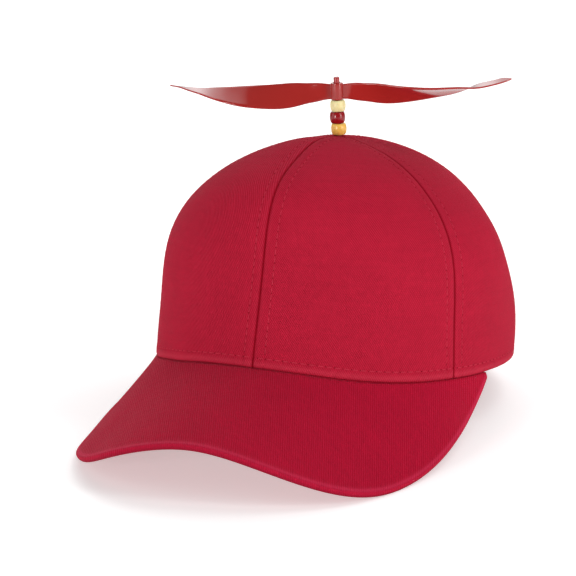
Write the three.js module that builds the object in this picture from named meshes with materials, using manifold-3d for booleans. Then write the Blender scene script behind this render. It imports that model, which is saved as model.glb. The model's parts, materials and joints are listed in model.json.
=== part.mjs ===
// Propeller cap: a six-panel cloth cap with an arched visor, and a two-blade
// propeller on a post of beads at the top of the crown.
// Millimetres, +Z up, the visor points to -Y, the wearer's left is +X.
// The cap stands on the two low corners of its visor and on its back rim.
import * as THREE from 'three';
import { mergeVertices } from 'three/addons/utils/BufferGeometryUtils.js';
import Module from 'manifold-3d';

const wasm = await Module();
wasm.setup();

const RAD = Math.PI / 180;

// ---- driving dimensions -------------------------------------------------
const GAP = 0.3;              // clearance between neighbouring pieces

// crown, measured on its outer face in its own frame: rim level near z = 0
const CROWN_FRONT = 102.35;   // post axis to the front of the rim
const CROWN_SIDE = 91.97;     // post axis to the side of the rim
const CROWN_BACK = 104.87;    // post axis to the back of the rim
const CROWN_HEIGHT = 115.4;   // rim level to the top
const CROWN_WALL = 1.8;       // cloth with its backing
const RIM_SIDE_Z = 0.08;      // rim level at the sides
const RIM_FRONT_Z = 7.8;      // the rim rises over the visor
const RIM_FRONT_SPREAD = 30.84; // degrees over which it rises
const RIM_BACK_Z = -14.5;     // the back of the rim hangs down to the table
const BACK_SPREAD = 0.15;     // how soon the back profile takes over from the side
const POST_HOLE_R = 2.4;      // hole at the top where the six panels meet

// crown profile: how far the wall stands out from a plain ellipse, by the
// angle up from the rim, at the front, side and back
const CROWN_PROFILE = [
  { up: 0, front: 1.0, side: 1.0, back: 1.0 },
  { up: 15, front: 0.974, side: 1.028, back: 1.036 },
  { up: 30, front: 1.018, side: 1.101, back: 1.029 },
  { up: 45, front: 1.101, side: 1.076, back: 1.05 },
  { up: 60, front: 1.069, side: 1.036, back: 1.035 },
  { up: 75, front: 1.036, side: 1.001, back: 1.01 },
  { up: 90, front: 1.0, side: 1.0, back: 1.0 },
];

// seams, as angles round the crown from the front, with a bow half way up
const SEAM_FRONT_SIDE = 63.44;
const SEAM_FRONT_SIDE_BOW = 1.99;
const SEAM_SIDE_BACK = 121.5;

// visor
const VISOR_THICK = 3.2;
const VISOR_END = 80.4;       // degrees round the rim to each end
const VISOR_END_OUT = 1.4;    // its end corners stand out past the crown
const VISOR_END_DROP = 3.55;
const VISOR_CENTRE_Y = -20;   // pole of the outline table
// outer edge, from the front centre (0) to each end (1): distance from the pole
// and height of the top face. The two halves of the soft visor differ a little.
const VISOR_EDGE = [
  { along: 0, leftReach: 155.21, leftZ: -18.84, rightReach: 155.21, rightZ: -18.84 },
  { along: 0.17, leftReach: 154.77, leftZ: -27.93, rightReach: 155.57, rightZ: -26.83 },
  { along: 0.3, leftReach: 149.5, leftZ: -38.38, rightReach: 148.22, rightZ: -36.28 },
  { along: 0.38, leftReach: 142.56, leftZ: -41.27, rightReach: 141.54, rightZ: -38.55 },
  { along: 0.46, leftReach: 133.27, leftZ: -39.75, rightReach: 133.59, rightZ: -39.35 },
  { along: 0.56, leftReach: 121.09, leftZ: -34.6, rightReach: 121.06, rightZ: -35.35 },
  { along: 0.7, leftReach: 106.08, leftZ: -26.31, rightReach: 105.69, rightZ: -25.04 },
  { along: 0.85, leftReach: 94.92, leftZ: -18.61, rightReach: 94.92, rightZ: -18.61 },
];

// pose: the cap leans back until the visor corners and the back rim both rest
const REST_TILT = 7.4;

// post, beads and propeller hub, heights above the top of the crown
const POST_R = 1.55;
const POST_TOP = 31.2;
const POST_DISC_R = 6;
const POST_DISC_Z = -5.4;
const POST_DISC_THICK = 1.5;
const BORE_R = POST_R + GAP;
const BEAD_R = 4.05;
const BEAD_END_R = 3.2;       // its flat ends
const BEAD_HEIGHT = 5.88;
const BEAD_FIRST_Z = 0.8;
const BEAD_PITCH = BEAD_HEIGHT + GAP;
const HUB_R = 3.25;
const HUB_Z = BEAD_FIRST_Z + 3 * BEAD_PITCH;
const HUB_HEIGHT = 8.8;

// propeller blades
const PROPELLER_TURN = 17;    // degrees round the post at rest
const BLADE_LENGTH = 88.04;   // post axis to tip
// the two blades: what each has past that length, and how far it lifts from level, degrees
const BLADES = [
  { past: 3.12, lift: 0.91 },
  { past: 0, lift: 0.48 },
];
const BLADE_PAST_FROM = 0.45; // share of the length from which the extra is taken up
const BLADE_THICK = 1.2;
// share of the length, chord, pitch up from flat, height of the chord's middle
// below the top of the hub
const BLADE_SECTION = [
  { at: 0.028, chord: 7.97, pitch: 88.0, rise: -4.79 },
  { at: 0.06, chord: 8.39, pitch: 85.2, rise: -4.68 },
  { at: 0.117, chord: 9.82, pitch: 80.3, rise: -5.02 },
  { at: 0.175, chord: 10.82, pitch: 73.0, rise: -5.54 },
  { at: 0.235, chord: 12.69, pitch: 63.7, rise: -6.17 },
  { at: 0.353, chord: 15.74, pitch: 44.8, rise: -7.14 },
  { at: 0.47, chord: 17.22, pitch: 32.8, rise: -7.24 },
  { at: 0.588, chord: 16.87, pitch: 25.3, rise: -6.81 },
  { at: 0.704, chord: 13.55, pitch: 19.7, rise: -5.7 },
  { at: 0.811, chord: 13.32, pitch: 2.0, rise: -4.1 },
  { at: 0.9, chord: 9.01, pitch: -5.0, rise: -2.55 },
  { at: 0.955, chord: 5.93, pitch: -10.8, rise: -1.46 },
  { at: 0.985, chord: 2.88, pitch: -12.2, rise: -1.08 },
  { at: 1.0, chord: 0.89, pitch: -14.9, rise: -0.83 },
];

// fineness of the facets
const PANEL_COLS = 8;
const PANEL_ROWS = 12;
const VISOR_COLS = 36;
const VISOR_ROWS = 5;
const ROUND_SEGMENTS = 18;
const BLADE_POINTS = 10;

// ---- materials -----------------------------------------------------------
const standard = (color, roughness) =>
  new THREE.MeshStandardMaterial({ color, roughness, metalness: 0 });
const CLOTH_FRONT = standard(0xb62437, 0.92);
const CLOTH_SIDE = standard(0xae2036, 0.92);
const CLOTH_VISOR = standard(0xa21831, 0.92);
const PLASTIC_RED = standard(0xa0201c, 0.22);
const BEAD_COLOURS = {
  bead_orange: standard(0xedb558, 0.25),
  bead_red: standard(0xa01419, 0.25),
  bead_yellow: standard(0xf3d89e, 0.25),
};

// ---- helpers -------------------------------------------------------------

// Smooth curve through the rows of a table. A slope of null leaves that end free.
function smooth(xs, ys, startSlope, endSlope) {
  const n = xs.length;
  const low = [], mid = [], high = [], rhs = [];
  for (let i = 0; i < n; i++) {
    if (i === 0 || i === n - 1) {
      const slope = i === 0 ? startSlope : endSlope;
      if (slope === null) {
        low.push(0); mid.push(1); high.push(0); rhs.push(0);
        continue;
      }
      const a = i === 0 ? 0 : n - 2;
      const h = xs[a + 1] - xs[a];
      const chord = (ys[a + 1] - ys[a]) / h;
      low.push(i === 0 ? 0 : h);
      mid.push(2 * h);
      high.push(i === 0 ? h : 0);
      rhs.push(6 * (i === 0 ? chord - slope : slope - chord));
      continue;
    }
    const h0 = xs[i] - xs[i - 1], h1 = xs[i + 1] - xs[i];
    low.push(h0); mid.push(2 * (h0 + h1)); high.push(h1);
    rhs.push(6 * ((ys[i + 1] - ys[i]) / h1 - (ys[i] - ys[i - 1]) / h0));
  }
  for (let i = 1; i < n; i++) {
    const w = low[i] / mid[i - 1];
    mid[i] -= w * high[i - 1];
    rhs[i] -= w * rhs[i - 1];
  }
  const bend = new Array(n);
  bend[n - 1] = rhs[n - 1] / mid[n - 1];
  for (let i = n - 2; i >= 0; i--) bend[i] = (rhs[i] - high[i] * bend[i + 1]) / mid[i];
  return (x) => {
    let i = 0;
    while (i < n - 2 && x > xs[i + 1]) i++;
    const h = xs[i + 1] - xs[i];
    const a = (xs[i + 1] - x) / h, b = (x - xs[i]) / h;
    return a * ys[i] + b * ys[i + 1] +
      ((a * a * a - a) * bend[i] + (b * b * b - b) * bend[i + 1]) * h * h / 6;
  };
}

// Closed body through a row of closed rings, its two ends shut by strips that
// join each point of a ring to the point opposite it.
function loft(rings) {
  const n = rings[0].length;
  const position = rings.flat().flatMap((p) => [p.x, p.y, p.z]);
  const index = [];
  for (let j = 0; j + 1 < rings.length; j++)
    for (let k = 0; k < n; k++) {
      const a = j * n + k, b = j * n + (k + 1) % n;
      index.push(a, b, b + n, a, b + n, a + n);
    }
  const last = (rings.length - 1) * n;
  for (let k = 0; k < n / 2 - 1; k++) {
    const a = k, b = k + 1, c = n - 2 - k, d = n - 1 - k;
    index.push(b, a, d);
    if (c !== b) index.push(b, d, c);
    index.push(last + a, last + b, last + d);
    if (c !== b) index.push(last + b, last + c, last + d);
  }
  const geometry = new THREE.BufferGeometry();
  geometry.setAttribute('position', new THREE.Float32BufferAttribute(position, 3));
  geometry.setIndex(index);
  return facingOut(geometry);
}

function facingOut(geometry) {
  const p = geometry.getAttribute('position');
  const index = geometry.index.array;
  const a = new THREE.Vector3(), b = new THREE.Vector3(), c = new THREE.Vector3();
  let volume = 0;
  for (let i = 0; i < index.length; i += 3) {
    a.fromBufferAttribute(p, index[i]);
    b.fromBufferAttribute(p, index[i + 1]);
    c.fromBufferAttribute(p, index[i + 2]);
    volume += a.dot(b.cross(c));
  }
  if (volume < 0)
    for (let i = 0; i < index.length; i += 3)
      [index[i + 1], index[i + 2]] = [index[i + 2], index[i + 1]];
  geometry.computeVertexNormals();
  return geometry;
}

// Body turned about the Z axis from rows of [radius, height].
function turned(profile) {
  const lathe = new THREE.LatheGeometry(
    profile.map(([r, z]) => new THREE.Vector2(r, z)), ROUND_SEGMENTS);
  lathe.rotateX(Math.PI / 2);
  lathe.deleteAttribute('normal');
  lathe.deleteAttribute('uv');
  const merged = mergeVertices(lathe, 1e-4);
  const index = [];
  const old = merged.index.array;
  for (let i = 0; i < old.length; i += 3) {
    const [a, b, c] = [old[i], old[i + 1], old[i + 2]];
    if (a !== b && b !== c && a !== c) index.push(a, b, c);
  }
  merged.setIndex(index);
  return facingOut(merged);
}

function toSolid(geometry) {
  const bare = new THREE.BufferGeometry();
  bare.setAttribute('position', geometry.getAttribute('position'));
  bare.setIndex(geometry.index);
  const merged = mergeVertices(bare, 1e-4);
  return new wasm.Manifold(new wasm.Mesh({
    numProp: 3,
    vertProperties: new Float32Array(merged.getAttribute('position').array),
    triVerts: new Uint32Array(merged.index.array),
  }));
}

function fromSolid(solid) {
  const mesh = solid.getMesh();
  const geometry = new THREE.BufferGeometry();
  geometry.setAttribute('position', new THREE.Float32BufferAttribute(mesh.vertProperties, 3));
  geometry.setIndex(Array.from(mesh.triVerts));
  geometry.computeVertexNormals();
  return geometry;
}

function piece(name, geometry, material) {
  const mesh = new THREE.Mesh(geometry, material);
  mesh.name = name;
  return mesh;
}

// ---- crown ---------------------------------------------------------------
const ups = CROWN_PROFILE.map((row) => row.up * RAD);
const profileFront = smooth(ups, CROWN_PROFILE.map((row) => row.front), null, 0);
const profileSide = smooth(ups, CROWN_PROFILE.map((row) => row.side), null, 0);
const profileBack = smooth(ups, CROWN_PROFILE.map((row) => row.back), null, 0);

function rimRadius(round) {
  const c = Math.cos(round);
  return 1 / Math.hypot(c / (c > 0 ? CROWN_FRONT : CROWN_BACK), Math.sin(round) / CROWN_SIDE);
}

function rimHeight(round) {
  const back = Math.max(-Math.cos(round), 0) ** 4;
  return RIM_SIDE_Z +
    (RIM_FRONT_Z - RIM_SIDE_Z) * Math.exp(-((round / (RIM_FRONT_SPREAD * RAD)) ** 2)) +
    (RIM_BACK_Z - RIM_SIDE_Z) * back;
}

// Outer face of the crown: angle round from the front, angle up from the rim.
function crownPoint(round, up) {
  const c = Math.cos(round);
  const front = c > 0 ? c * c : 0;
  const back = c < 0 ? 1 - Math.exp(-c * c / BACK_SPREAD) : 0;
  const stand = front * profileFront(up) + back * profileBack(up) +
    (1 - front - back) * profileSide(up);
  const rim = rimHeight(round);
  const r = rimRadius(round) * stand * Math.cos(up);
  const z = rim + (CROWN_HEIGHT - rim) * stand * Math.sin(up);
  return new THREE.Vector3(r * Math.sin(round), -r * c, z);
}

function crownNormal(round, up) {
  const e = 0.01;
  const alongRound = crownPoint(round + e, up).sub(crownPoint(round - e, up));
  const alongUp = crownPoint(round, up + e).sub(crownPoint(round, up - e));
  return alongRound.cross(alongUp).normalize();
}

// ---- visor outline -------------------------------------------------------
const rimEdge = (round) => {
  const r = rimRadius(round);
  return new THREE.Vector3(r * Math.sin(round), -r * Math.cos(round), rimHeight(round) - GAP - 0.05);
};
const visorEnd = rimEdge(VISOR_END * RAD).add(new THREE.Vector3(
  VISOR_END_OUT * Math.sin(VISOR_END * RAD), -VISOR_END_OUT * Math.cos(VISOR_END * RAD), -VISOR_END_DROP));
const visorEndTurn = Math.atan2(visorEnd.x, VISOR_CENTRE_Y - visorEnd.y);
const alongs = [...VISOR_EDGE.map((row) => row.along), 1];
const visorEndReach = Math.hypot(visorEnd.x, visorEnd.y - VISOR_CENTRE_Y);
const visorColumn = (name, end) => smooth(alongs, [...VISOR_EDGE.map((row) => row[name]), end], 0, null);
const visorHalf = {
  left: { reach: visorColumn('leftReach', visorEndReach), z: visorColumn('leftZ', visorEnd.z) },
  right: { reach: visorColumn('rightReach', visorEndReach), z: visorColumn('rightZ', visorEnd.z) },
};

// Outer edge of the visor's top face, from -1 (wearer's right end) to 1.
function visorEdge(along) {
  const half = along < 0 ? visorHalf.right : visorHalf.left;
  const a = Math.abs(along), turn = along * visorEndTurn, r = half.reach(a);
  return new THREE.Vector3(r * Math.sin(turn), VISOR_CENTRE_Y - r * Math.cos(turn), half.z(a));
}

function visorTop(along, out) {
  const inner = rimEdge(along * VISOR_END * RAD);
  return inner.lerp(visorEdge(along), out);
}

function visorNormal(along, out) {
  const e = 0.004;
  const across = visorTop(along + e, out).sub(visorTop(along - e, out));
  const outward = visorTop(along, 1).sub(visorTop(along, 0));
  return across.cross(outward).negate().normalize();
}

// One slice of the visor: top face outwards, rolled edge, bottom face inwards.
function visorRing(along) {
  const round = along * VISOR_END * RAD;
  const inner = visorTop(along, 0);
  const length = visorTop(along, 1).distanceTo(inner);
  const half = VISOR_THICK / 2;
  const flat = Math.max(length - half, 0.4) / length;
  const ring = [];
  const under = new THREE.Vector3(-Math.sin(round), Math.cos(round), 0);
  ring.push(inner.clone().addScaledVector(under, CROWN_WALL));
  for (let i = 0; i <= VISOR_ROWS; i++) ring.push(visorTop(along, flat * i / VISOR_ROWS));
  const normal = visorNormal(along, flat);
  const outward = visorTop(along, 1).sub(inner).normalize();
  const middle = visorTop(along, flat).addScaledVector(normal, -half);
  for (const turn of [45, 90, 135])
    ring.push(middle.clone()
      .addScaledVector(normal, half * Math.cos(turn * RAD))
      .addScaledVector(outward, half * Math.sin(turn * RAD)));
  for (let i = VISOR_ROWS; i >= 0; i--) {
    const out = flat * i / VISOR_ROWS;
    ring.push(visorTop(along, out).addScaledVector(visorNormal(along, out), -VISOR_THICK));
  }
  return ring;
}

const visorRings = [];
for (let i = 0; i <= VISOR_COLS; i++) visorRings.push(visorRing(-1 + 2 * i / VISOR_COLS));

// ---- resting level -------------------------------------------------------
const upright = new THREE.Vector3(0, -Math.sin(REST_TILT * RAD), Math.cos(REST_TILT * RAD));
const restLevel = Math.min(...visorRings.flat().map((p) => p.dot(upright)));

// The back rim is cloth, so it lies flat where it meets the table.
function onTable(point) {
  const below = restLevel - point.dot(upright);
  return below > 0 ? point.addScaledVector(upright, below) : point;
}

// ---- crown panels --------------------------------------------------------
function panel(seamA, seamB) {
  const rings = [];
  for (let j = 0; j <= PANEL_ROWS; j++) {
    const outer = [], inner = [];
    for (let i = 0; i <= PANEL_COLS; i++) {
      const middle = (seamA(0) + seamB(0)) / 2;
      const top = Math.acos(POST_HOLE_R / rimRadius(middle));
      const up = top * j / PANEL_ROWS;
      const r = Math.max(Math.hypot(crownPoint(middle, up).x, crownPoint(middle, up).y), POST_HOLE_R);
      const inset = GAP / 2 / r;
      const a = seamA(up) + inset, b = seamB(up) - inset;
      const round = a + (b - a) * i / PANEL_COLS;
      const face = crownPoint(round, up);
      const lining = face.clone().addScaledVector(crownNormal(round, up), -CROWN_WALL);
      if (j === 0) {
        lining.addScaledVector(upright, face.dot(upright) - lining.dot(upright));
        onTable(face);
        onTable(lining);
      }
      outer.push(face);
      inner.push(lining);
    }
    rings.push([...outer, ...inner.reverse()]);
  }
  return loft(rings);
}

const seamCentre = () => 0;
const seamFrontSide = (up) => (SEAM_FRONT_SIDE + SEAM_FRONT_SIDE_BOW * Math.sin(2 * up)) * RAD;
const seamSideBack = () => SEAM_SIDE_BACK * RAD;
const seamBack = () => Math.PI;
const mirrored = (seam) => (up) => -seam(up);

const cap = new THREE.Group();
cap.add(piece('panel_front_left', panel(seamCentre, seamFrontSide), CLOTH_FRONT));
cap.add(piece('panel_front_right', panel(mirrored(seamFrontSide), seamCentre), CLOTH_FRONT));
cap.add(piece('panel_side_left', panel(seamFrontSide, seamSideBack), CLOTH_SIDE));
cap.add(piece('panel_side_right', panel(mirrored(seamSideBack), mirrored(seamFrontSide)), CLOTH_SIDE));
cap.add(piece('panel_back_left', panel(seamSideBack, seamBack), CLOTH_SIDE));
cap.add(piece('panel_back_right', panel(mirrored(seamBack), mirrored(seamSideBack)), CLOTH_SIDE));
cap.add(piece('visor', loft(visorRings), CLOTH_VISOR));
cap.rotation.x = -REST_TILT * RAD;
cap.position.z = -restLevel;
cap.updateMatrixWorld(true);
const extent = new THREE.Box3().setFromObject(cap, true);
cap.position.y = -(extent.min.y + extent.max.y) / 2;
cap.updateMatrixWorld(true);

// ---- post, beads, propeller ----------------------------------------------
const mast = new THREE.Group();
mast.position.copy(cap.localToWorld(new THREE.Vector3(0, 0, CROWN_HEIGHT)));

mast.add(piece('post', turned([
  [0, POST_DISC_Z],
  [POST_DISC_R, POST_DISC_Z],
  [POST_DISC_R, POST_DISC_Z + POST_DISC_THICK],
  [POST_R, POST_DISC_Z + POST_DISC_THICK],
  [POST_R, POST_TOP - 0.6],
  [POST_R - 0.5, POST_TOP - 0.1],
  [POST_R - 0.9, POST_TOP],
  [0, POST_TOP],
]), PLASTIC_RED));

const beadProfile = [[BORE_R, 0.5], [BORE_R + 0.4, 0]];
for (let i = 0; i <= 8; i++) {
  const turn = (-90 + 22.5 * i) * RAD;
  beadProfile.push([
    BEAD_END_R + (BEAD_R - BEAD_END_R) * Math.cos(turn),
    BEAD_HEIGHT / 2 * (1 + Math.sin(turn)),
  ]);
}
beadProfile.push([BORE_R + 0.4, BEAD_HEIGHT], [BORE_R, BEAD_HEIGHT - 0.5], [BORE_R, 0.5]);
['bead_orange', 'bead_red', 'bead_yellow'].forEach((name, i) => {
  const bead = piece(name, turned(beadProfile), BEAD_COLOURS[name]);
  bead.position.z = BEAD_FIRST_Z + i * BEAD_PITCH;
  mast.add(bead);
});

function blade(past) {
  const at = BLADE_SECTION.map((row) => row.at);
  const column = (name) => smooth(at, BLADE_SECTION.map((row) => row[name]), null, null);
  const chord = column('chord'), pitch = column('pitch'), rise = column('rise');
  const rings = [];
  const stations = at.flatMap((share, i) =>
    i > 2 && i < 10 ? [share, (share + at[i + 1]) / 2] : [share]);
  for (const share of stations) {
    const p = pitch(share) * RAD;
    const across = new THREE.Vector3(0, -Math.cos(p), Math.sin(p));
    const through = new THREE.Vector3(0, Math.sin(p), Math.cos(p));
    const late = THREE.MathUtils.smoothstep(share, BLADE_PAST_FROM, 1);
    const middle = new THREE.Vector3(BLADE_LENGTH * share + past * late, 0, rise(share));
    const thick = BLADE_THICK * (share > 0.9 ? 0.8 : 1);
    const ring = [];
    for (let k = 0; k < BLADE_POINTS; k++) {
      const turn = (k + 0.5) / BLADE_POINTS * 2 * Math.PI;
      ring.push(middle.clone()
        .addScaledVector(across, chord(share) / 2 * Math.cos(turn))
        .addScaledVector(through, thick / 2 * Math.sin(turn)));
    }
    rings.push(ring);
  }
  return loft(rings);
}

const hub = turned([
  [BORE_R, 0], [HUB_R - 0.3, 0], [HUB_R, 0.3], [HUB_R, HUB_HEIGHT - 0.3],
  [HUB_R - 0.3, HUB_HEIGHT], [BORE_R, HUB_HEIGHT], [BORE_R, 0],
]);
const bladeSolids = BLADES.map(({ past, lift }, i) => toSolid(blade(past)
  .rotateY(-lift * RAD).rotateZ(i * Math.PI).translate(0, 0, HUB_HEIGHT)));
const propeller = piece('propeller',
  fromSolid(toSolid(hub).add(bladeSolids[0]).add(bladeSolids[1])), PLASTIC_RED);
propeller.position.z = HUB_Z;
propeller.rotation.z = PROPELLER_TURN * RAD;
mast.add(propeller);

const propellerCap = new THREE.Group();
propellerCap.add(cap, mast);

export default propellerCap;
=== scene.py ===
import json
import math

import bpy
import numpy as np
from mathutils import Matrix, Vector

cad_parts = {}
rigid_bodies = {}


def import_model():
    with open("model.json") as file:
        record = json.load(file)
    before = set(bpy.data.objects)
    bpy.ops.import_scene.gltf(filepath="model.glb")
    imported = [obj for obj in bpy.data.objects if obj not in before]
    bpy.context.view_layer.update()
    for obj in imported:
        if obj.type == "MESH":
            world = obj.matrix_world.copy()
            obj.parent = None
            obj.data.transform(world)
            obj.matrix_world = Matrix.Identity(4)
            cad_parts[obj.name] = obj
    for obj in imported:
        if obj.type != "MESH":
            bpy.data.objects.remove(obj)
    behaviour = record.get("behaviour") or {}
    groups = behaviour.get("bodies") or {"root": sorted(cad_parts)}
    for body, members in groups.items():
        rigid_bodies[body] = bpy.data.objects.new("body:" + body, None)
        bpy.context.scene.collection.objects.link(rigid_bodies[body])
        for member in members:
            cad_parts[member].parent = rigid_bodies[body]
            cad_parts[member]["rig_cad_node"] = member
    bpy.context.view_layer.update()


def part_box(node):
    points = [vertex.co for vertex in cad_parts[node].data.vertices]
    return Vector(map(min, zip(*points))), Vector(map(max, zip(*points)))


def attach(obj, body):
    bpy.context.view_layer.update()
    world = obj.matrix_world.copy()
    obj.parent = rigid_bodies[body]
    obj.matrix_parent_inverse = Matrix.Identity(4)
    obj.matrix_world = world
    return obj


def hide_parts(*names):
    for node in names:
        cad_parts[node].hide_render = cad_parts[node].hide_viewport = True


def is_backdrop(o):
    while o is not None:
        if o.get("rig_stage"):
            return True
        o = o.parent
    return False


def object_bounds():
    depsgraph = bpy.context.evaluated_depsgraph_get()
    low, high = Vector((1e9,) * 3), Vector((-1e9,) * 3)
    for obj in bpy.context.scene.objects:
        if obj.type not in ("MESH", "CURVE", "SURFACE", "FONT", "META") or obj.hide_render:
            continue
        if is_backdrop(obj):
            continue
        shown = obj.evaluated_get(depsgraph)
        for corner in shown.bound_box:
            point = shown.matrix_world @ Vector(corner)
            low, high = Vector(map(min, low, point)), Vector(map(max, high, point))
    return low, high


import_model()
scene = bpy.context.scene
RAD = math.pi / 180

# ---- dimensions of the cap, as in the part ---------------------------------
CROWN_FRONT, CROWN_SIDE, CROWN_BACK = 102.35, 91.97, 104.87
CROWN_HEIGHT, CROWN_WALL = 115.4, 1.8
RIM_SIDE_Z, RIM_FRONT_Z, RIM_FRONT_SPREAD, RIM_BACK_Z = 0.08, 7.8, 30.84 * RAD, -14.5
BACK_SPREAD, POST_HOLE_R = 0.15, 2.4
# angle up from the rim, then how far the wall stands out at front, side, back
CROWN_PROFILE = np.array([
    (0, 1.0, 1.0, 1.0),
    (15, 0.974, 1.028, 1.036),
    (30, 1.018, 1.101, 1.029),
    (45, 1.101, 1.076, 1.05),
    (60, 1.069, 1.036, 1.035),
    (75, 1.036, 1.001, 1.01),
    (90, 1.0, 1.0, 1.0),
])
VISOR_THICK, VISOR_END, VISOR_END_OUT, VISOR_END_DROP, VISOR_CENTRE_Y = 3.2, 80.4 * RAD, 1.4, 3.55, -20.0
# outer edge from the front centre (0) to each end (1): reach and height on the
# wearer's left, then on the right
VISOR_EDGE = np.array([
    (0, 155.21, -18.84, 155.21, -18.84),
    (0.17, 154.77, -27.93, 155.57, -26.83),
    (0.3, 149.5, -38.38, 148.22, -36.28),
    (0.38, 142.56, -41.27, 141.54, -38.55),
    (0.46, 133.27, -39.75, 133.59, -39.35),
    (0.56, 121.09, -34.6, 121.06, -35.35),
    (0.7, 106.08, -26.31, 105.69, -25.04),
    (0.85, 94.92, -18.61, 94.92, -18.61),
])
REST_TILT = 7.4 * RAD
POST_R, POST_TOP, POST_DISC_R, POST_DISC_Z, POST_DISC_THICK = 1.55, 31.2, 6.0, -5.4, 1.5
BORE_R, BEAD_R, BEAD_END_R, BEAD_HEIGHT, BEAD_FIRST_Z, BEAD_PITCH = 1.85, 4.1, 3.1, 5.88, 0.8, 6.18
BEAD_SIDEWAYS = (0.26, -0.22, 0.24)  # each bead sits loose on its post
HUB_R, HUB_Z, HUB_HEIGHT, PROPELLER_TURN = 3.25, 19.34, 8.8, 17 * RAD
BLADE_LENGTH, BLADE_PAST_FROM = 88.04, 0.45
BLADES = [(3.12, 0.91 * RAD), (0.0, 0.48 * RAD)]  # what each has past that length, and its lift
# share of the length, chord, pitch, height of the chord's middle from the hub top
BLADE_SECTION = np.array([
    (0.028, 7.97, 88.0, -4.79),
    (0.06, 8.39, 85.2, -4.68),
    (0.117, 9.82, 80.3, -5.02),
    (0.175, 10.82, 73.0, -5.54),
    (0.235, 12.69, 63.7, -6.17),
    (0.353, 15.74, 44.8, -7.14),
    (0.47, 17.22, 32.8, -7.24),
    (0.588, 16.87, 25.3, -6.81),
    (0.704, 13.55, 19.7, -5.7),
    (0.811, 13.32, 2.0, -4.1),
    (0.9, 9.01, -5.0, -2.55),
    (0.955, 5.93, -10.8, -1.46),
    (0.985, 2.88, -12.2, -1.08),
    (1.0, 0.89, -14.9, -0.83),
])

# ---- dimensions of the sewing ----------------------------------------------
SEAM_LAP = 0.04          # how far each sewn edge runs past its seam line
SEAM_DEPTH = 0.42        # how far the cloth turns in at a seam
SEAM_STITCH = 5.6        # seam to its row of stitches
FRONT_STITCH = (6.1, 5.0)  # the same at the front seam, wearer's left and right
SEAM_PITCH = 4.05
RIM_STITCH = 5.0         # rim edge to its row of stitches
RIM_PITCH = 4.25
RIM_CLOSE = 0.3          # the rim is drawn down on to the visor
RIM_LIFT = 1.96          # the front rim sits higher on the wearer's right
THREAD_R = 0.27

# ---- where the crown's frame sits in the row frame --------------------------
low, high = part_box("bead_orange")
AXIS_Y = (low.y + high.y) / 2 * 1000
APEX_Z = low.z * 1000 - BEAD_FIRST_Z
COS, SIN = math.cos(REST_TILT), math.sin(REST_TILT)
SHIFT_Y = AXIS_Y - CROWN_HEIGHT * SIN
SHIFT_Z = APEX_Z - CROWN_HEIGHT * COS
REST_LEVEL = -SHIFT_Z
UPRIGHT = np.array([0.0, -SIN, COS])


def in_row(p):
    """Points of the cap's frame (mm) in the row frame (m)."""
    x, y, z = p[..., 0], p[..., 1], p[..., 2]
    return np.stack([x, y * COS + z * SIN + SHIFT_Y, -y * SIN + z * COS + SHIFT_Z], -1) / 1000


def on_mast(p):
    """Points round the upright post, heights above the crown's top (mm), in the row frame (m)."""
    return (np.asarray(p, float) + np.array([0.0, AXIS_Y, APEX_Z])) / 1000


# ---- small helpers -----------------------------------------------------------
def smooth(xs, ys, start=None, end=None):
    """Smooth curve through a table. An end with no slope given is left free."""
    xs, ys = np.asarray(xs, float), np.asarray(ys, float)
    n, h = len(xs), np.diff(xs)
    a, b = np.zeros((n, n)), np.zeros(n)
    for i in range(1, n - 1):
        a[i, i - 1], a[i, i], a[i, i + 1] = h[i - 1], 2 * (h[i - 1] + h[i]), h[i]
        b[i] = 6 * ((ys[i + 1] - ys[i]) / h[i] - (ys[i] - ys[i - 1]) / h[i - 1])
    a[0, 0] = a[-1, -1] = 1
    if start is not None:
        a[0, 0], a[0, 1], b[0] = 2 * h[0], h[0], 6 * ((ys[1] - ys[0]) / h[0] - start)
    if end is not None:
        a[-1, -2], a[-1, -1], b[-1] = h[-1], 2 * h[-1], 6 * (end - (ys[-1] - ys[-2]) / h[-1])
    bend = np.linalg.solve(a, b)

    def at(x):
        x = np.asarray(x, float)
        i = np.clip(np.searchsorted(xs, x) - 1, 0, n - 2)
        g = h[i]
        p, q = (xs[i + 1] - x) / g, (x - xs[i]) / g
        return p * ys[i] + q * ys[i + 1] + ((p**3 - p) * bend[i] + (q**3 - q) * bend[i + 1]) * g * g / 6

    return at


def step(a, b, x):
    q = np.clip((x - a) / (b - a), 0, 1)
    return q * q * (3 - 2 * q)


def unit(v):
    return v / np.maximum(np.linalg.norm(v, axis=-1, keepdims=True), 1e-12)


def hill(x, middle, width):
    return np.exp(-(((x - middle) / width) ** 2))


def unevenness(p, size):
    """A soft, fixed unevenness between about -1 and 1 over points in mm."""
    x, y, z = p[..., 0] / size, p[..., 1] / size, p[..., 2] / size
    return (
        0.5 * np.sin(1.3 * x + 0.7 * y + 1.9 * z + 0.4)
        + 0.35 * np.sin(-0.8 * x + 1.6 * y + 1.1 * z + 2.1)
        + 0.3 * np.sin(2.3 * x - 1.2 * y + 2.6 * z + 4.0)
        + 0.2 * np.sin(3.1 * x + 2.9 * y - 1.7 * z + 1.2)
    )


def grid_faces(rows, cols, first=0, flip=False, closed=False):
    """Quads over a grid of points, row after row."""
    r = np.arange(rows - 1)[:, None] * cols
    c = np.arange(cols if closed else cols - 1)[None, :]
    d = (c + 1) % cols
    quads = np.stack([r + c, r + d, r + cols + d, r + cols + c], -1).reshape(-1, 4) + first
    return quads[:, ::-1] if flip else quads


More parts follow.
